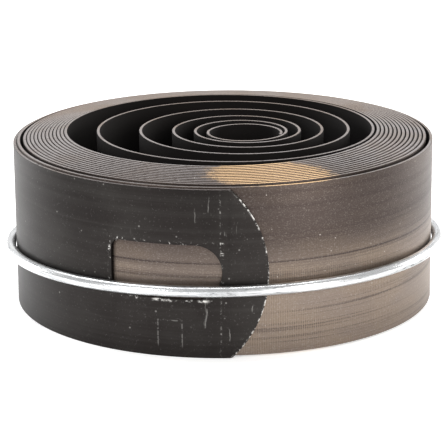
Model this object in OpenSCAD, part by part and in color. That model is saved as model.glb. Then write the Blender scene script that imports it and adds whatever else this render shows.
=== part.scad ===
// Wound flat strip spring for a roller shutter barrel, held closed by a wire ring.
// The coil stands on the edge of its strip, with the coil axis along Z. The front
// of the coil, where the outer end of the strip finishes, faces -Y.
//
// The strip is one long spiral, made as a chain of half-turn arcs. The outer face
// crosses the line of centres at the right and at the left in turn, and each arc runs
// from one crossing to the next, so that the arcs share a tangent where they meet.

/* [Strip] */
// Width of the strip, which is the height of each turn
strip_w = 60; // [55:1:70]
// Thickness of the strip
strip_t = 1.2; // [0.8:0.05:1.25]

/* [Coil] */
// Distance from the coil axis to the outer face of the outer turn, at the left
coil_r = 78; // [77:0.5:80]
// Distance between the packed turns at the left
left_pitch = 1.38; // [1.35:0.01:1.39]
// Distance between the packed turns at the right
right_pitch = 1.55; // [1.5:0.01:1.57]
// How far the pack is set back from the outer two turns, which opens a gap in front
front_gap = 0.8; // [0:0.1:1]
// How much higher the pack stands than the outer turn, before its own rise
first_rise = 0.5; // [0:0.1:0.8]
// How much higher each packed turn stands than the one outside it
turn_rise = 0.19; // [0:0.01:0.3]
// How much lower each loose turn hangs than the one outside it
turn_drop = 0.3; // [0:0.05:0.5]

/* [Outer end] */
// How far the tip of the rounded outer end lies to the right of the front
nose_x = 15; // [10:0.5:24]
// How far the round of the outer end bulges past its corners
nose_sagitta = 13; // [10:0.5:22]
// Azimuth of the middle of the hooking slot
slot_az = -105.7; // [-125:0.1:-105]
// Length of the slot
slot_l = 39.5; // [30:0.5:44]
// Height of the slot
slot_h = 19.3; // [12:0.1:20]
// Height of the middle of the slot above the lower edge
slot_z = 30.7; // [30:0.1:40]
// Corner radius at the square end of the slot
slot_corner_r = 3.5; // [1:0.5:6]

/* [Inner end] */
// Inner radius of the eye that takes the shaft
eye_r = 13; // [12.5:0.1:13.2]
// Outer radius of the arc that leads from the last loose turn into the eye
lead_r = 16.1; // [15.8:0.1:16.4]
// Angle past the right side at which the inner end stops
tip_angle = 15; // [5:1:20]

/* [Retaining ring] */
// Diameter of the galvanised wire
wire_d = 4; // [3:0.5:5]
// Clearance between the wire and the outer turn, in front
ring_gap = 0.35; // [0.2:0.05:0.6]
// Height of the middle of the ring above the lower edge
ring_z = 21.7; // [18:0.1:22]
// How far the ring leans, with its front higher than its back
ring_tilt = 2.3; // [0:0.1:2.5]
// Extra thickness of the wire at its butt weld
weld_upset = 0.4; // [0.2:0.1:0.6]

/* [Hidden] */

$fn = 180;
past = 5;                  // how far a cutter runs past the faces that it cuts

dark_steel = "#4a4643";    // annealed and blued outer end
spring_steel = "#85776b";  // tempered strip
loose_steel = "#9a9086";   // tempered strip, lit edges
zinc = "#c6c8ca";          // galvanised wire

packed_turns = 13;
loose_turns = 4;
outer_step = 0.75;         // radius lost over each half of the outer turn
weld_length = 3;           // length of the butt weld's upset along the wire

// Distances from the coil axis at which the loose turns cross the line of centres, at
// the right and the left in turn. The loose turns lean to the right, towards the eye.
loose_crossings = [56, 47.2, 46.8, 31.5, 37.1, 19.3, 28.7, 11.2, 23.8];
first_loose = 2 * (packed_turns + 1);
last_crossing = first_loose + len(loose_crossings) - 1;

// Crossing k is at the right when k is even and at the left when k is odd. The outer
// turn has crossings 0 to 2, and the pack starts at crossing 3. The back of the arc
// from crossing 3 takes up the front gap.
gap_arc = 3;
function at_right(k) = k % 2 == 0;
function packed_crossing(k) =
    coil_r - (k > gap_arc ? front_gap : 0)
    - (at_right(k) ? outer_step + (k / 2 - 1) * right_pitch : (k - 1) / 2 * left_pitch);
function crossing(k) =
    k == 0 ? coil_r + outer_step
    : k < first_loose ? packed_crossing(k)
    : loose_crossings[k - first_loose];

// Arc k runs from crossing k to crossing k + 1: through the front when k is even, and
// through the back when k is odd.
function arc_r(k) = (crossing(k) + crossing(k + 1) + (k == gap_arc ? front_gap : 0)) / 2;
function arc_x(k) = (at_right(k) ? 1 : -1) * (crossing(k) - arc_r(k));
function arc_y(k) = k > gap_arc ? front_gap : 0;

// Height of the lower edge of each turn, counted inwards from 0 at the outer end
function turn_z(turn) =
    turn == 0 ? 0
    : turn <= packed_turns ? first_rise + turn * turn_rise
    : first_rise + packed_turns * turn_rise - (turn - packed_turns) * turn_drop;

// A quarter turn of a larger circle leads from the last crossing to the front of the
// eye, which is one circle from there round to the tip.
eye_outer_r = eye_r + strip_t;
eye_x = crossing(last_crossing) - lead_r;
eye_y = front_gap - (lead_r - eye_outer_r);
eye_z = turn_z(packed_turns + loose_turns + 1);

// The outer end is round about a point that gives it the full width as its chord.
nose_r = (pow(strip_w / 2, 2) + pow(nose_sagitta, 2)) / (2 * nose_sagitta);
nose_start_az = -70;       // where the strip starts before its end is rounded

ring_x = (packed_crossing(2) - coil_r) / 2;
ring_y = (arc_r(1) - arc_r(0)) / 2;
ring_r = arc_r(0) + ring_y + ring_gap + wire_d / 2;

// A length of upright strip, bent to an arc with outer radius r about (x, y), from
// azimuth from_az anticlockwise through sweep degrees.
module strip_arc(x, y, z, r, from_az, sweep) {
    translate([x, y, z])
        rotate([0, 0, from_az])
            rotate_extrude(angle = sweep)
                translate([r - strip_t, 0])
                    square([strip_t, strip_w]);
}

// Half a turn of the spiral
module half_turn(k, z) {
    strip_arc(arc_x(k), arc_y(k), z, arc_r(k), at_right(k) ? 180 : 0, 180);
}

// The back of the turn where the pack is set back: two quarter turns
module gap_half_turn(z) {
    x = arc_x(gap_arc);
    r = arc_r(gap_arc);
    strip_arc(x, 0, z, r, 90, 90);
    strip_arc(x, front_gap, z, r - front_gap, 0, 90);
}

// One whole turn of the spiral, counted inwards from the outer end
module full_turn(turn) {
    k = 2 * turn;
    half_turn(k, turn_z(turn));
    if (k + 1 == gap_arc)
        gap_half_turn(turn_z(turn));
    else
        half_turn(k + 1, turn_z(turn));
}

// Outline of the hooking slot: square at its left end and round at its right end
module slot_outline() {
    end_x = slot_l / 2 - slot_h / 2;
    corner_x = slot_corner_r - slot_l / 2;
    corner_z = slot_h / 2 - slot_corner_r;
    translate([corner_x, -slot_h / 2])
        square([end_x - corner_x, slot_h]);
    translate([-slot_l / 2, -corner_z])
        square([slot_l / 2, 2 * corner_z]);
    for (side = [-1, 1])
        translate([corner_x, side * corner_z])
            circle(r = slot_corner_r);
    translate([end_x, 0])
        circle(r = slot_h / 2);
}

// What is cut away to round the outer end: everything right of its corners that
// is outside the round
module nose_cutter() {
    corner_x = nose_x - nose_sagitta;
    difference() {
        translate([corner_x, -coil_r - past, -past])
            cube([coil_r / 2, coil_r / 2, strip_w + 2 * past]);
        translate([nose_x - nose_r, 0, strip_w / 2])
            rotate([90, 0, 0])
                cylinder(r = nose_r, h = coil_r + 2 * past);
    }
}

module slot_cutter() {
    rotate([0, 0, slot_az + 90])
        translate([0, -coil_r / 2, slot_z])
            rotate([90, 0, 0])
                linear_extrude(coil_r)
                    slot_outline();
}

module outer_end() {
    color(dark_steel) {
        difference() {
            strip_arc(arc_x(0), 0, 0, arc_r(0), 180, 180 + nose_start_az);
            nose_cutter();
            slot_cutter();
        }
        half_turn(1, 0);
    }
}

module packed_turn(n) {
    color(spring_steel) full_turn(n);
}

module loose_turn(n) {
    color(loose_steel) full_turn(packed_turns + n);
}

module eye_lead() {
    color(loose_steel)
        strip_arc(eye_x, front_gap, eye_z, lead_r, 270, 90);
}

module shaft_eye() {
    color(loose_steel)
        strip_arc(eye_x, eye_y, eye_z, eye_outer_r, -tip_angle, 270 + tip_angle);
}

module retaining_ring() {
    color(zinc)
        translate([ring_x, ring_y, ring_z]) rotate([-ring_tilt, 0, 0]) {
            rotate_extrude()
                translate([ring_r, 0])
                    circle(d = wire_d);
            rotate([0, 0, 90])
                rotate_extrude(angle = weld_length / ring_r * 180 / PI)
                    translate([ring_r, 0])
                        circle(d = wire_d + weld_upset);
        }
}

outer_end();
packed_turn(1);  // packed_turn_01
packed_turn(2);  // packed_turn_02
packed_turn(3);  // packed_turn_03
packed_turn(4);  // packed_turn_04
packed_turn(5);  // packed_turn_05
packed_turn(6);  // packed_turn_06
packed_turn(7);  // packed_turn_07
packed_turn(8);  // packed_turn_08
packed_turn(9);  // packed_turn_09
packed_turn(10);  // packed_turn_10
packed_turn(11);  // packed_turn_11
packed_turn(12);  // packed_turn_12
packed_turn(13);  // packed_turn_13
loose_turn(1);  // loose_turn_1
loose_turn(2);  // loose_turn_2
loose_turn(3);  // loose_turn_3
loose_turn(4);  // loose_turn_4
eye_lead();
shaft_eye();
retaining_ring();
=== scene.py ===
# Wound flat strip spring with its wire ring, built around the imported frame.
import math
import bpy
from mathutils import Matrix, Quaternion, Vector


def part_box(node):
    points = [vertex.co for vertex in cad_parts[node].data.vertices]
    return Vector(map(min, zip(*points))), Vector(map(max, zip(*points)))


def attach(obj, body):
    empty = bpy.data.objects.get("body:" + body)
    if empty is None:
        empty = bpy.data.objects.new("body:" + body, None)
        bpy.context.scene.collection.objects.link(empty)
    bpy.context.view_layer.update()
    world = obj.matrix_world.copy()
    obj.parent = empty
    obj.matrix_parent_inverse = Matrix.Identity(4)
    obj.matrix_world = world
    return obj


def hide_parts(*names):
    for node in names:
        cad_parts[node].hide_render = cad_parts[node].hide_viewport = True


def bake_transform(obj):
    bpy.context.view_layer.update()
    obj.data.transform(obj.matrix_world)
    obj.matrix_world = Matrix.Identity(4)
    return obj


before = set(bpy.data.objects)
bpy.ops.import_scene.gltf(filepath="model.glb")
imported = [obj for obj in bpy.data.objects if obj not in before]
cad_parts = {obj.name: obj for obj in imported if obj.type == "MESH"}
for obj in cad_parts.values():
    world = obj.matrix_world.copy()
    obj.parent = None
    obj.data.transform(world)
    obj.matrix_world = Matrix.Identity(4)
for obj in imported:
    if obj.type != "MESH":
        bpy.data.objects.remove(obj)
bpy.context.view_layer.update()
print("frame loaded:", len(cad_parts), "nodes")

mm = 0.001

cameraPlace = {
    "distance": 0.806,          # from the middle of the coil, in metres
    "elevation": 15.59,        # degrees above the horizon
    "roll": -0.517,            # degrees
    "lens": 172.5,             # mm, on a 36 mm sensor
    "aim": (-0.25 * mm, 0.0, 25.85 * mm),
    "middle": 30 * mm,
}


def placeCamera():
    tilt = math.radians(cameraPlace["elevation"])
    eye = Vector((0, -math.cos(tilt), math.sin(tilt))) * cameraPlace["distance"]
    eye.z += cameraPlace["middle"]
    look = (Vector(cameraPlace["aim"]) - eye).to_track_quat("-Z", "Y")
    bpy.ops.object.camera_add(location=eye)
    camera = bpy.context.object
    camera.name = "camera"
    camera.rotation_mode = "QUATERNION"
    camera.rotation_quaternion = look @ Quaternion((0, 0, 1), math.radians(cameraPlace["roll"]))
    camera.data.lens = cameraPlace["lens"]
    camera.data.sensor_width = 36
    camera.data.clip_end = 20
    bpy.context.scene.camera = camera


studio = {
    "worldStrength": 0.55,
    "floorColour": (0.88, 0.88, 0.88),
    "floorSize": 8.0,          # metres
    "floorGlow": 0.4,          # lit from below, so that it stays white beside the coil
    "lights": {                # place, size, power and the warmth of each soft box
        "topLight": ((-0.1, 0.35, 1.0), (1.2, 1.0), 14, (1, 1, 1)),
        "backLight": ((0.0, 1.3, 0.55), (2.2, 0.7), 2.4, (1, 1, 1)),
        "frontRightLight": ((0.74, -0.86, 0.42), (0.35, 0.5), 7, (1, 0.98, 0.95)),
        "frontLeftLight": ((-0.9, -0.85, 0.5), (0.35, 0.45), 4, (1, 1, 1)),
        "leftRimLight": ((-1.1, 0.75, 0.3), (0.5, 0.5), 6, (1, 1, 1)),
        "rightRimLight": ((1.1, 0.75, 0.3), (0.5, 0.5), 8, (1, 0.98, 0.95)),
    },
}


def areaLight(name, place, aim, size, power, colour):
    bpy.ops.object.light_add(type="AREA", location=place)
    light = bpy.context.object
    light.name = name
    light.data.shape = "RECTANGLE"
    light.data.size, light.data.size_y = size
    light.data.energy = power
    light.data.color = colour
    light.rotation_mode = "QUATERNION"
    light.rotation_quaternion = (Vector(aim) - Vector(place)).to_track_quat("-Z", "Y")


def lightStudio():
    world = bpy.data.worlds.new("studio")
    world.use_nodes = True
    background = world.node_tree.nodes["Background"]
    background.inputs["Color"].default_value = (1, 1, 1, 1)
    background.inputs["Strength"].default_value = studio["worldStrength"]
    bpy.context.scene.world = world
    for name, (place, size, power, colour) in studio["lights"].items():
        areaLight(name, place, (0, 0, cameraPlace["middle"]), size, power, colour)
    bpy.context.scene.view_settings.view_transform = "Standard"


def layFloor():
    bpy.ops.mesh.primitive_plane_add(size=studio["floorSize"])
    floor = bpy.context.object
    floor.name = "studioFloor"
    material = bpy.data.materials.new("paleFloor")
    material.use_nodes = True
    surface = material.node_tree.nodes["Principled BSDF"]
    surface.inputs["Base Color"].default_value = (*studio["floorColour"], 1)
    surface.inputs["Roughness"].default_value = 0.9
    surface.inputs["Emission Color"].default_value = (1, 1, 1, 1)
    surface.inputs["Emission Strength"].default_value = studio["floorGlow"]
    floor.data.materials.append(material)


class Wire:                    # a socket that can stand in a sum
    def __init__(self, graph, socket):
        self.graph = graph
        self.socket = socket

    def maths(self, operation, *others):
        return self.graph.node("ShaderNodeMath", {"operation": operation}, (self, *others))

    def __add__(self, other):
        return self.maths("ADD", other)

    def __radd__(self, other):
        return self.maths("ADD", other)

    def __sub__(self, other):
        return self.maths("SUBTRACT", other)

    def __mul__(self, other):
        return self.maths("MULTIPLY", other)

    def __truediv__(self, other):
        return self.maths("DIVIDE", other)

    def __rsub__(self, other):
        return self.graph.node("ShaderNodeMath", {"operation": "SUBTRACT"}, (other, self))

    def clamp(self):
        return self.graph.node("ShaderNodeMath", {"operation": "ADD", "use_clamp": True}, (self, 0.0))

    def between(self, low, high):   # 0 below low, 1 above high, smooth in between
        settings = {"interpolation_type": "SMOOTHSTEP"}
        return self.graph.node("ShaderNodeMapRange", settings, (self, low, high, 0.0, 1.0))

    def near(self, value, width):   # 1 at value, fading to 0 at width either side
        return 1 - (self - value).maths("ABSOLUTE").between(0.0, width)


class Finish:                  # a material under construction
    def __init__(self, name, **constants):
        self.material = bpy.data.materials.new(name)
        self.material.use_nodes = True
        self.tree = self.material.node_tree
        self.surface = self.tree.nodes["Principled BSDF"]
        for socket, value in constants.items():
            self.surface.inputs[socket.replace("_", " ")].default_value = value
        self.coordinates = self.node("ShaderNodeTexCoord", {}, (), "Object")
        self.place = self.node("ShaderNodeVectorMath", {"operation": "SCALE"},
                               {"Vector": self.coordinates, "Scale": 1000.0}, "Vector")

    def node(self, kind, settings, values, output=0):
        new = self.tree.nodes.new(kind)
        for key, value in settings.items():
            setattr(new, key, value)
        pairs = values.items() if isinstance(values, dict) else enumerate(values)
        for key, value in pairs:
            self.join(value, new.inputs[key])
        return Wire(self, new.outputs[output])

    def join(self, value, socket):
        if isinstance(value, Wire):
            self.tree.links.new(value.socket, socket)
        else:
            socket.default_value = value

    def split(self, vector):
        parts = self.node("ShaderNodeSeparateXYZ", {}, (vector,))
        outputs = parts.socket.node.outputs
        return [Wire(self, outputs[i]) for i in range(3)]

    def stretched(self, x, y, z):    # object position in mm, times a scale on each axis
        return self.node("ShaderNodeVectorMath", {"operation": "MULTIPLY"},
                         (self.place, (x, y, z)), "Vector")

    def noise(self, vector, scale=1.0, detail=3.0, rough=0.55):
        values = {"Vector": vector, "Scale": scale, "Detail": detail, "Roughness": rough}
        return self.node("ShaderNodeTexNoise", {}, values, "Fac")

    def specks(self, vector, scale, chance=1.0):
        values = {"Vector": vector, "Scale": scale, "Randomness": chance}
        return self.node("ShaderNodeTexVoronoi", {}, values, "Distance")

    def blend(self, share, first, second):
        new = self.tree.nodes.new("ShaderNodeMix")
        new.data_type = "RGBA"
        self.join(share, new.inputs["Factor"])
        self.join(first, new.inputs[6])
        self.join(second, new.inputs[7])
        return Wire(self, new.outputs[2])

    def bump(self, height, distance, strength=1.0):
        values = {"Height": height, "Distance": distance, "Strength": strength}
        return self.node("ShaderNodeBump", {}, values, "Normal")

    def feed(self, **links):
        for socket, wire in links.items():
            self.join(wire, self.surface.inputs[socket.replace("_", " ")])


def shade(red, green, blue):
    return (red, green, blue, 1.0)


# Both finishes of the strip share this: the bright line that the slitting knives left on
# its edges, seen between the dark gaps of the pack, and the straw stain from the furnace.
edgeFinish = {
    "silver": shade(0.26, 0.24, 0.235),
    "pink": shade(0.20, 0.158, 0.130),
    "dull": shade(0.10, 0.085, 0.08),
    "straw": shade(0.60, 0.40, 0.215),
    "strawMiddle": (16, -64),  # where the stain lies on the top of the pack, mm
    "strawSpread": (23, 13),
    "brownBack": (-20, 60),    # the edges turn brown from front to back, mm
    "dullFront": (-78, -35),   # and dull towards the front
}


def edgeColour(finish, x, y):
    look = edgeFinish
    wear = finish.noise(finish.stretched(0.045, 0.045, 0.0), 1.0, 4.0)
    fine = finish.noise(finish.stretched(0.5, 0.5, 0.0), 1.0, 3.0)
    brown = (y.between(*look["brownBack"]) * 0.75 + wear.between(0.45, 0.65) * 0.5).clamp()
    across = (x - look["strawMiddle"][0]) / look["strawSpread"][0]
    along = (y - look["strawMiddle"][1]) / look["strawSpread"][1]
    straw = 1 - (across * across + along * along + (fine - 0.5)).between(0.55, 1.15)
    colour = finish.blend(brown, look["silver"], look["pink"])
    front = 1 - y.between(*look["dullFront"])
    colour = finish.blend((fine.between(0.52, 0.72) * 0.6 + front * 0.75).clamp(), colour, look["dull"])
    return finish.blend(straw, colour, look["straw"])


def outwardness(finish, centre):     # 1 on the strip's outer face, -1 on its inner face, 0 on its edges
    normal = finish.node("ShaderNodeTexCoord", {}, (), "Normal")
    x, y = finish.split(finish.place)[:2]
    flat = finish.node("ShaderNodeCombineXYZ", {}, (x - centre[0], y - centre[1], 0.0), "Vector")
    outward = finish.node("ShaderNodeVectorMath", {"operation": "NORMALIZE"}, (flat,), "Vector")
    return finish.node("ShaderNodeVectorMath", {"operation": "DOT_PRODUCT"},
                       (outward, normal), "Value")


def slitEdge(finish):                # 1 on the flat of the slit edges, 0 on their rounded corners
    normal = finish.node("ShaderNodeTexCoord", {}, (), "Normal")
    return finish.split(normal)[2].maths("ABSOLUTE").between(0.80, 0.97)


coilRadius = 78.0                    # mm, which turns an angle into a length round the outside


def around(finish):                  # mm round the coil, to the right of its front; jumps at the back
    x, y = finish.split(finish.place)[:2]
    return x.maths("ARCTAN2", 0 - y) * coilRadius


stripFinish = {
    "bronze": shade(0.196, 0.157, 0.132),
    "bronzeDark": shade(0.050, 0.038, 0.035),
    "bronzeGold": shade(0.234, 0.183, 0.142),
    "plum": shade(0.044, 0.034, 0.032),
    "bloom": shade(0.42, 0.38, 0.35),
    # painted shade: near black for the faces inside the coil
    "paintedShade": shade(0.008, 0.0068, 0.0064),
    "lineHeight": 33.5,        # of the drawn line that runs along the strip, mm
    "lineWide": 0.5,
    "faintLines": (41.5, 48.5),
    "plumFrom": 23,            # the bronze darkens to plum between these heights, mm
    "plumTo": 44,
    "plumShare": 0.85,
    "chatterPitch": 7.5,       # radians of the roller's fine ripple to each mm round the coil
    "bumpDepth": 0.08 * mm,
}


def bronzeWall(finish, z):           # colour, relief and rolling streaks of the tempered faces
    look = stripFinish
    rolled = finish.noise(finish.stretched(0.006, 0.006, 0.55), 1.0, 6.0, 0.65)
    drawn = finish.noise(finish.stretched(0.012, 0.012, 2.6), 1.0, 3.0, 0.6)
    clouds = finish.noise(finish.stretched(0.03, 0.03, 0.07), 1.0, 4.0)
    grain = finish.noise(finish.stretched(1.6, 1.6, 3.2), 1.0, 2.0, 0.7)
    chatter = (around(finish) * look["chatterPitch"]).maths("SINE") * clouds.between(0.4, 0.65)
    dots = 1 - finish.specks(finish.stretched(0.33, 0.33, 0.33), 1.0).between(0.04, 0.10)
    line = z.near(look["lineHeight"], look["lineWide"])
    low, high = look["faintLines"]
    faint = (z.near(low, 0.6) + z.near(high, 0.8)) * clouds.between(0.42, 0.6)
    ripple = chatter * (1 - z.between(24, 34) * 0.7)     # weaker in the upper half
    dark = (rolled.between(0.48, 0.70) * 0.6 + line * 0.85 + faint * 0.5
            + drawn.between(0.52, 0.70) * 0.4 + ripple * 0.3).clamp()
    face = finish.blend(clouds.between(0.38, 0.66), look["bronze"], look["bronzeGold"])
    plum = z.between(look["plumFrom"], look["plumTo"])
    face = finish.blend(plum * look["plumShare"], face, look["plum"])
    face = finish.blend(dark, face, look["bronzeDark"])
    sparkle = grain.between(0.50, 0.74) * (0.36 - plum * 0.18) + dots * clouds.between(0.5, 0.6)
    face = finish.blend(sparkle.clamp(), face, look["bloom"])
    relief = rolled * 0.6 + drawn * 0.3 + grain * 0.25 + chatter * 0.12
    return face, relief, rolled


# Painted shade: the inner faces of every turn, and both faces of the turns given inside = 1 (the loose
# turns and the eye), are painted near black; their slit edges keep their own colour.
def makeStripFinish(name, centre, inside):    # inside is 1 for the turns that stand free inside the coil
    finish = Finish(name, Specular_IOR_Level=0.12)
    x, y, z = finish.split(finish.place)
    face, relief, rolled = bronzeWall(finish, z)
    # painted shade: the inner faces, and every face when inside is 1, are blended to near black, made less
    # metallic and rougher, standing in for the shade within the coil
    shadow = (1 - outwardness(finish, centre).between(-0.5, 0.2) + inside).clamp()
    face = finish.blend(shadow, face, stripFinish["paintedShade"])
    edge = slitEdge(finish)
    finish.feed(
        Base_Color=finish.blend(edge, face, edgeColour(finish, x, y)),
        Metallic=1 - shadow * (1 - edge) * 0.75,
        Roughness=0.38 + rolled * 0.14 + shadow * 0.35 - edge * 0.05,
        Normal=finish.bump(relief, stripFinish["bumpDepth"], 0.55),
    )
    return finish.material


endFinish = {
    "charcoal": shade(0.024, 0.021, 0.020),
    "charcoalPale": shade(0.038, 0.035, 0.033),
    "scratch": shade(0.36, 0.35, 0.33),
    "nick": shade(0.72, 0.70, 0.67),
    # painted shade: near black for the inner face and the cut sides of the slot
    "paintedShade": shade(0.017, 0.0145, 0.0135),
    "temperFrom": 5,           # behind this depth the blueing fades to bronze, mm
    "temperOver": 40,
    "temperRight": (30, 50),   # the right side is bronze as well, mm
    "shearLine": -1.5,         # where the press marked the strip across, mm round from the front
    "slotMiddle": (-21.4, 30.7),
    "slotHalf": (19.9, 9.7),
    "noseCentre": (-26.0, 30.0),
    "noseRadius": 41.1,
    "burrs": ((-23.0, 3.2), (-7.5, 2.8)),    # under the slot: place and reach round the coil, mm
    "archMiddle": -19.3,       # a scratched arch below the slot, mm
    "archHalf": 4.3,
    "archTop": 13.2,
    "bumpDepth": 0.1 * mm,
}


def makeEndFinish(name):
    look = endFinish
    finish = Finish(name, Metallic=1.0)
    x, y, z = finish.split(finish.place)
    along = around(finish)
    outer = outwardness(finish, (0, 0))
    clouds = finish.noise(finish.stretched(0.035, 0.035, 0.05), 1.0, 5.0, 0.6)
    streaks = finish.noise(finish.stretched(0.006, 0.006, 0.7), 1.0, 5.0, 0.6)
    grain = finish.noise(finish.stretched(1.4, 1.4, 1.4), 1.0, 3.0, 0.7)
    ragged = finish.noise(finish.stretched(0.6, 0.6, 0.6), 1.0, 4.0, 0.7)
    # hair scratches run nearly upright, and gather near the tip
    tangle = (along * 0.55 + clouds * 3, z * 0.05 + clouds * 2, 0.0)
    tangled = finish.node("ShaderNodeCombineXYZ", {}, tangle, "Vector")
    hairs = finish.noise(tangled, 1.0, 2.0, 0.5).between(0.665, 0.72)
    gathered = along.near(-1, 16) + clouds.between(0.55, 0.7) * 0.5
    dots = 1 - finish.specks(finish.stretched(0.17, 0.17, 0.17), 1.0).between(0.035, 0.075)
    fineDots = 1 - finish.specks(finish.stretched(0.4, 0.4, 0.4), 1.0).between(0.04, 0.09)
    shear = along.near(look["shearLine"], 0.45) * ragged.between(0.5, 0.62)
    # nicks along the slot's rim and the rounded tip, burrs under the slot, and an old scratched arch
    overX = (along - look["slotMiddle"][0]).maths("ABSOLUTE") - look["slotHalf"][0]
    overZ = (z - look["slotMiddle"][1]).maths("ABSOLUTE") - look["slotHalf"][1]
    rim = overX.maths("MAXIMUM", overZ).near(0.5, 0.9) * ragged.between(0.56, 0.66)
    outX = along - look["noseCentre"][0]
    outZ = z - look["noseCentre"][1]
    outAway = (outX * outX + outZ * outZ).maths("SQRT")
    nose = outAway.near(look["noseRadius"], 0.7) * ragged.between(0.47, 0.58)
    (first, reach), (second, shorter) = look["burrs"]
    burrHeight = look["slotMiddle"][1] - look["slotHalf"][1] - 0.5
    burrs = ((along.near(first, reach) + along.near(second, shorter))
             * z.near(burrHeight, 0.7) * ragged.between(0.42, 0.5))
    archX = (along - look["archMiddle"]).maths("ABSOLUTE") - look["archHalf"]
    archLine = archX.maths("MAXIMUM", z - look["archTop"]).near(0.0, 0.35)
    arch = archLine * z.between(3, 5) * ragged.between(0.45, 0.52)
    side = 1 - outer.maths("ABSOLUTE").between(0.45, 0.8)
    tip = side * along.between(0.5, 3)
    face = finish.blend((clouds.between(0.35, 0.7) * 0.7 + streaks.between(0.4, 0.7) * 0.4).clamp(),
                        look["charcoal"], look["charcoalPale"])
    temper = (y.between(look["temperFrom"], look["temperFrom"] + look["temperOver"])
              + x.between(*look["temperRight"])).clamp()
    bronze, relief, rolled = bronzeWall(finish, z)
    face = finish.blend(temper, face, bronze)
    worn = (hairs * gathered * 0.55 + dots * 0.4 + fineDots * clouds.between(0.55, 0.7) * 0.35
            + shear * 0.6 + arch * 0.35 + grain.between(0.60, 0.8) * 0.3).clamp()
    face = finish.blend(worn, face, look["scratch"])
    face = finish.blend((rim * 0.8 + burrs + nose * along.between(-4, 2)).clamp(), face, look["nick"])
    # painted shade: the inner face, and the cut faces left of the coil's front (the slot's sides), are
    # blended to near black and made rougher, in place of the shade there
    inside = (1 - outer.between(-0.5, 0.2)) + side * (1 - along.between(0, 1)) * (1 - slitEdge(finish))
    worked = clouds * 0.5 + streaks * 0.3 + worn * 0.4 + grain * 0.3
    face = finish.blend(inside.clamp(), face, look["paintedShade"])
    bright = (slitEdge(finish) * ragged.between(0.3, 0.5) * 0.8 + tip * ragged.between(0.42, 0.56)).clamp()
    finish.feed(
        Base_Color=finish.blend(bright, face, edgeColour(finish, x, y)),
        Roughness=((0.40 + clouds * 0.16) * (1 - temper) + (0.38 + rolled * 0.14) * temper
                   + inside * 0.2),
        Normal=finish.bump(worked + relief * temper, look["bumpDepth"], 0.5),
    )
    return finish.material


zincFinish = {
    "bright": shade(0.80, 0.81, 0.82),
    "grey": shade(0.33, 0.34, 0.35),
    "pit": shade(0.06, 0.06, 0.06),
    "bumpDepth": 0.15 * mm,
}


def makeZincFinish(name):
    look = zincFinish
    finish = Finish(name, Metallic=1.0)
    x, y, z = finish.split(finish.place)
    radius = (x * x + y * y).maths("SQRT")
    along = around(finish)
    lengthwise = finish.node("ShaderNodeCombineXYZ", {}, (along * 0.045, radius * 0.9, z * 0.9), "Vector")
    finer = finish.node("ShaderNodeCombineXYZ", {}, (along * 0.35, radius * 1.6, z * 1.6), "Vector")
    streaks = finish.noise(lengthwise, 1.0, 5.0, 0.65)
    clouds = finish.noise(finer, 1.0, 4.0, 0.65)
    spots = 1 - finish.specks(finish.stretched(0.45, 0.45, 0.45), 1.0).between(0.05, 0.13)
    pits = spots * clouds.between(0.45, 0.55)
    scuffs = streaks.between(0.56, 0.62) * clouds.between(0.50, 0.60)
    dull = (streaks.between(0.42, 0.62) * 0.7 + clouds.between(0.5, 0.7) * 0.3).clamp()
    colour = finish.blend(dull, look["bright"], look["grey"])
    colour = finish.blend((pits + scuffs * 0.75).clamp(), colour, look["pit"])
    finish.feed(
        Base_Color=colour,
        Roughness=0.24 + dull * 0.2 + pits * 0.3,
        Normal=finish.bump(clouds * 0.7 - pits, look["bumpDepth"], 0.45),
    )
    return finish.material


stripShape = {
    "thick": 1.2 * mm,
    "edgeRound": 0.28 * mm,
    "roundSteps": 3,
    "stepDegrees": 2.0,
    "smoothAngle": 25,
}


def deselectAll():
    if bpy.context.object and bpy.context.object.mode != "OBJECT":
        bpy.ops.object.mode_set(mode="OBJECT")
    bpy.ops.object.select_all(action="DESELECT")


def select(*pieces):
    deselectAll()
    for piece in pieces:
        piece.select_set(True)
    bpy.context.view_layer.objects.active = pieces[0]


def selectOnly(piece, kind, chosen):    # leaves the piece in edit mode, with the chosen elements selected
    select(piece)
    bpy.ops.object.mode_set(mode="EDIT")
    bpy.ops.mesh.select_mode(type=kind)
    bpy.ops.mesh.select_all(action="DESELECT")
    bpy.ops.object.mode_set(mode="OBJECT")
    elements = {"VERT": piece.data.vertices, "EDGE": piece.data.edges, "FACE": piece.data.polygons}[kind]
    for element in elements:
        element.select = chosen(element)
    bpy.ops.object.mode_set(mode="EDIT")


def applyModifiers(piece):
    select(piece)
    for modifier in list(piece.modifiers):
        bpy.ops.object.modifier_apply(modifier=modifier.name)


def finishPiece(piece, name, material):
    select(piece)
    piece.name = piece.data.name = name
    bpy.ops.object.transform_apply(location=True, rotation=True, scale=True)
    bpy.ops.object.mode_set(mode="EDIT")
    bpy.ops.mesh.select_all(action="SELECT")
    bpy.ops.mesh.normals_make_consistent(inside=False)
    bpy.ops.object.mode_set(mode="OBJECT")
    bpy.ops.object.shade_smooth_by_angle(angle=math.radians(stripShape["smoothAngle"]))
    piece.data.materials.clear()
    piece.data.materials.append(material)


# The spiral is a chain of half turns, and each crosses the line of centres at the right
# and at the left. The crossings are read from the frame's own turns.
packedNodes = ["packed_turn_%02d" % n for n in range(1, 14)]
looseNodes = ["loose_turn_%d" % n for n in range(1, 5)]
turnNodes = ["outer_end"] + packedNodes + looseNodes + ["eye_lead"]


def readSpiral():
    crossings, heights, fronts = [], [], []
    for node in turnNodes:
        low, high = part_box(node)
        crossings += [high.x, -low.x]
        heights.append(low.z)
        fronts.append(low.y)
    return crossings, heights, fronts


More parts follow.
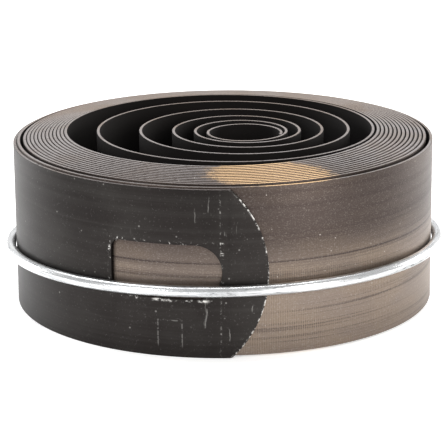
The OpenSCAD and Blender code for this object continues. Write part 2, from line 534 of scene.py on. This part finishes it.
crossings, turnHeights, turnFronts = readSpiral()
crossings[0] = -2 * turnFronts[0] - crossings[1]     # the first half turn stops at the nose
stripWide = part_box("shaft_eye")[1].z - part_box("shaft_eye")[0].z
packBack = turnFronts[2] + (crossings[4] + crossings[5]) / 2


def crossingHeight(k):              # lower edge of the strip where it makes crossing k
    turn = k // 2
    if k % 2:
        return turnHeights[turn]
    return (turnHeights[turn] + turnHeights[max(turn - 1, 0)]) / 2


def arcsOf(k):                      # (centre x, centre y, degrees) of the arcs from crossing k to k + 1
    side = 1 if k % 2 == 0 else -1
    gap = packBack if k == 3 else 0
    radius = (crossings[k] + crossings[k + 1] + gap) / 2
    x = side * (crossings[k] - radius)
    if k == 3:
        return [(x, 0, 90), (x, packBack, 90)]
    return [(x, packBack if k > 3 else 0, 180)]


def startPoint(k):                  # middle of the strip's section at crossing k
    side = 1 if k % 2 == 0 else -1
    away = crossings[k] - stripShape["thick"] / 2
    return Vector((side * away, packBack if k > 3 else 0, 0))


def sectionAt(place):
    deselectAll()
    bpy.ops.mesh.primitive_plane_add(size=1, location=place, rotation=(math.pi / 2, 0, 0))
    piece = bpy.context.object
    piece.scale = (stripShape["thick"], stripWide, 1)
    bpy.ops.object.transform_apply(location=True, rotation=True, scale=True)
    bpy.ops.object.mode_set(mode="EDIT")
    bpy.ops.mesh.select_all(action="SELECT")
    bpy.ops.mesh.bevel(offset=stripShape["edgeRound"], segments=stripShape["roundSteps"],
                       affect="VERTICES")
    return piece


def sweep(arcs):                    # carries the selected section clockwise round each arc in turn
    for x, y, degrees in arcs:
        steps = round(degrees / stripShape["stepDegrees"])
        bpy.ops.mesh.spin(steps=steps, angle=math.radians(degrees), center=(x, y, 0), axis=(0, 0, 1))


def liftAlong(piece, heights):      # spreads the rise evenly over the sections in the order they were made
    sides = 4 * (stripShape["roundSteps"] + 1)
    vertices = piece.data.vertices
    last = len(vertices) // sides - 1
    for vertex in vertices:
        along = (vertex.index // sides) / last * (len(heights) - 1)
        part = min(int(along), len(heights) - 2)
        vertex.co.z += heights[part] + (heights[part + 1] - heights[part]) * (along - part)


def layStrip(name, firstCrossing, halfTurns, material):
    piece = sectionAt(startPoint(firstCrossing) + Vector((0, 0, stripWide / 2)))
    for k in range(firstCrossing, firstCrossing + halfTurns):
        sweep(arcsOf(k))
    bpy.ops.object.mode_set(mode="OBJECT")
    liftAlong(piece, [crossingHeight(firstCrossing + i) for i in range(halfTurns + 1)])
    finishPiece(piece, name, material)
    return piece


outerEnd = {
    "noseX": 15 * mm,
    "noseSagitta": 13 * mm,
    "slotAzimuth": -105.7,
    "slotLong": 39.9 * mm,
    "slotHigh": 19.3 * mm,
    "slotHeight": 30.7 * mm,
    "slotCorner": 3.5 * mm,
    "edgeRound": 0.2 * mm,
    "bendStep": 2.4 * mm,
}


def buildOuterEnd(material):
    shape = outerEnd
    thick = stripShape["thick"]
    radius = (crossings[0] + crossings[1]) / 2 - thick / 2
    centreX = crossings[0] - radius - thick / 2
    tipAngle = math.degrees(math.asin((shape["noseX"] - centreX) / radius))
    sweepAngle = math.radians(90 + tipAngle)
    long = radius * sweepAngle
    noseRadius = ((stripWide / 2) ** 2 + shape["noseSagitta"] ** 2) / (2 * shape["noseSagitta"])
    cornerX = long / 2 - shape["noseSagitta"]

    # flat blank: a disc cut to the strip's width, with its cut side drawn out to full length
    deselectAll()
    bpy.ops.mesh.primitive_cylinder_add(vertices=160, radius=noseRadius, depth=thick,
                                        location=(long / 2 - noseRadius, 0, stripWide / 2),
                                        rotation=(math.pi / 2, 0, 0))
    blank = bpy.context.object
    bpy.ops.object.transform_apply(location=True, rotation=True, scale=True)
    bpy.ops.object.mode_set(mode="EDIT")
    for place, direction in (((0, 0, 0), (0, 0, -1)), ((0, 0, stripWide), (0, 0, 1)),
                             ((cornerX, 0, 0), (-1, 0, 0))):
        bpy.ops.mesh.select_all(action="SELECT")
        bpy.ops.mesh.bisect(plane_co=place, plane_no=direction, use_fill=True, clear_outer=True)
    selectOnly(blank, "FACE", lambda face: face.normal.x < -0.99)
    spare = 2 * mm                  # drawn out past the join, so that the join stays square
    bpy.ops.mesh.extrude_region_move(
        TRANSFORM_OT_translate={"value": (-(cornerX + long / 2 + spare), 0, 0)})
    bpy.ops.object.mode_set(mode="OBJECT")

    # hooking slot
    middleAngle = (tipAngle - 180) / 2 - 45
    slotX = math.radians(shape["slotAzimuth"] - middleAngle) * radius
    deselectAll()
    bpy.ops.mesh.primitive_cube_add(size=1, location=(slotX, 0, shape["slotHeight"]))
    cutter = bpy.context.object
    cutter.scale = (shape["slotLong"], 8 * mm, shape["slotHigh"])
    bpy.ops.object.transform_apply(location=True, rotation=True, scale=True)
    for side, offset, steps in ((-1, shape["slotCorner"], 8), (1, shape["slotHigh"] * 0.49, 24)):
        def onThisSide(edge):
            a, b = (cutter.data.vertices[i].co for i in edge.vertices)
            return abs(a.y - b.y) > 1 * mm and (a.x - slotX) * side > 0

        selectOnly(cutter, "EDGE", onThisSide)
        bpy.ops.mesh.bevel(offset=offset, segments=steps, affect="EDGES")
        bpy.ops.object.mode_set(mode="OBJECT")
    cut = blank.modifiers.new("slot", "BOOLEAN")
    cut.object = cutter
    cut.solver = "EXACT"
    applyModifiers(blank)
    bpy.data.objects.remove(cutter)

    # rounded edges, cuts for bending, and the square end for the join
    bevel = blank.modifiers.new("edges", "BEVEL")
    bevel.width = shape["edgeRound"]
    bevel.segments = 3
    bevel.limit_method = "ANGLE"
    bevel.angle_limit = math.radians(40)
    applyModifiers(blank)
    bpy.ops.object.mode_set(mode="EDIT")
    cuts = int(long / shape["bendStep"])
    for i in range(1, cuts):
        bpy.ops.mesh.select_all(action="SELECT")
        bpy.ops.mesh.bisect(plane_co=(-long / 2 + i * long / cuts, 0, 0), plane_no=(1, 0, 0))
    bpy.ops.mesh.select_all(action="SELECT")
    bpy.ops.mesh.bisect(plane_co=(-long / 2, 0, 0), plane_no=(-1, 0, 0), clear_outer=True,
                        use_fill=True)
    bpy.ops.object.mode_set(mode="OBJECT")

    # bent to its radius, then turned and moved to its place
    bend = blank.modifiers.new("bend", "SIMPLE_DEFORM")
    bend.deform_method = "BEND"
    bend.deform_axis = "Z"
    bend.angle = sweepAngle
    applyModifiers(blank)
    blank.location = (0, -radius, 0)
    bpy.ops.object.transform_apply(location=True, rotation=True, scale=True)
    blank.rotation_euler.z = math.radians(middleAngle + 90)
    bpy.ops.object.transform_apply(location=True, rotation=True, scale=True)
    blank.location = (centreX, 0, 0)
    finishPiece(blank, "outerEnd", material)
    return blank


wireRing = {
    "wire": 4 * mm,
    "wireSteps": 24,
    "ringSteps": 180,
    "squeeze": 0.9935,         # the coil keeps the ring a little narrower than it is deep
    "lean": -2.3,              # degrees about the line of centres, with the front high
    "list": -0.6,              # degrees, with the right side high
    "weldHalf": 1.6 * mm,
    "weldSwell": 1.09,
}


def buildRing(material):
    shape = wireRing
    low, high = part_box("retaining_ring")
    radius = (high.x - low.x) / 2 - shape["wire"] / 2
    deselectAll()
    bpy.ops.mesh.primitive_circle_add(vertices=shape["wireSteps"], radius=shape["wire"] / 2,
                                      location=(radius, 0, 0), rotation=(math.pi / 2, 0, 0))
    ring = bpy.context.object
    bpy.ops.object.transform_apply(location=True, rotation=True, scale=True)
    bpy.ops.object.mode_set(mode="EDIT")
    bpy.ops.mesh.select_all(action="SELECT")
    bpy.ops.mesh.spin(steps=shape["ringSteps"], angle=2 * math.pi, center=(0, 0, 0), axis=(0, 0, 1))
    bpy.ops.mesh.select_all(action="SELECT")
    bpy.ops.mesh.remove_doubles(threshold=0.05 * mm)
    selectOnly(ring, "VERT", lambda vertex: vertex.co.y > 0 and abs(vertex.co.x) < shape["weldHalf"])
    swell = shape["weldSwell"]
    bpy.ops.transform.resize(value=(1, swell, swell), center_override=(0, radius, 0))
    bpy.ops.object.mode_set(mode="OBJECT")
    ring.scale = (shape["squeeze"], 1, 1)
    bpy.ops.object.transform_apply(location=True, rotation=True, scale=True)
    ring.rotation_euler = (math.radians(shape["lean"]), math.radians(shape["list"]), 0)
    ring.location = (low + high) / 2
    finishPiece(ring, "wireRing", material)
    return ring


# The weights of a blend follow a smoothstep, so for each half turn a line is worked out on which its two
# ends would get the shares that they have along the length of the strip; nothing uses the line, and the
# piece is only baked.
def foldBack(step):                 # the middle of a smoothstep turned round: where it has this value
    return 0.5 - math.sin(math.asin(1 - 2 * step) / 3)


def bendWith(piece, k, shareBefore, shareAfter):
    first, last = startPoint(k), startPoint(k + 1)
    t0, t1 = foldBack(shareBefore), foldBack(shareAfter)
    run = (last - first) / (t1 - t0)
    start = first - run * t0
    start + run
    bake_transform(piece)


def assemble():
    stripMaterial = makeStripFinish("temperedStrip", (0, 0), 0.0)
    low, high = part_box("shaft_eye")
    eyeX = low.x + (high.y - low.y) / 2
    eyeY = (low.y + high.y) / 2
    looseMaterial = makeStripFinish("looseStripPaintedShade", (eyeX / mm, eyeY / mm), 1.0)
    endMaterial = makeEndFinish("bluedEnd")
    zincMaterial = makeZincFinish("zincWire")

    end = buildOuterEnd(endMaterial)
    back = layStrip("outerTurnBack", 1, 1, endMaterial)
    for piece in (end, back):
        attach(piece, "coil")
        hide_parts("outer_end")
    print("outer end ready")

    for n, node in enumerate(packedNodes, 1):
        piece = layStrip("packedTurn%02d" % n, 2 * n, 2, stripMaterial)
        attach(piece, "coil")
        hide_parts(node)
    print("packed turns ready")

    first = 2 * len(packedNodes) + 2
    count = 2 * len(looseNodes)
    lengths = [crossings[first + i] + crossings[first + i + 1] for i in range(count)]
    share = 0.0
    for i in range(count):
        piece = layStrip("looseTurn%d%s" % (i // 2 + 1, "Front" if i % 2 == 0 else "Back"),
                         first + i, 1, looseMaterial)
        after = share + lengths[i] / sum(lengths)
        bendWith(piece, first + i, share, min(after, 1.0))
        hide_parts(looseNodes[i // 2])
        share = after
    print("loose turns ready")

    last = first + count
    eyeHeight = low.z
    leadIn = sectionAt(startPoint(last) + Vector((0, 0, stripWide / 2)))
    sweep([(eyeX, packBack, 90), (eyeX, eyeY, 285)])
    bpy.ops.object.mode_set(mode="OBJECT")
    liftAlong(leadIn, [crossingHeight(last), eyeHeight])
    finishPiece(leadIn, "shaftEye", looseMaterial)
    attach(leadIn, "inner_end")
    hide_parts("eye_lead", "shaft_eye")
    print("eye ready")

    ring = buildRing(zincMaterial)
    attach(ring, "ring")
    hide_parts("retaining_ring")
    print("ring ready")


placeCamera()
lightStudio()
layFloor()
assemble()
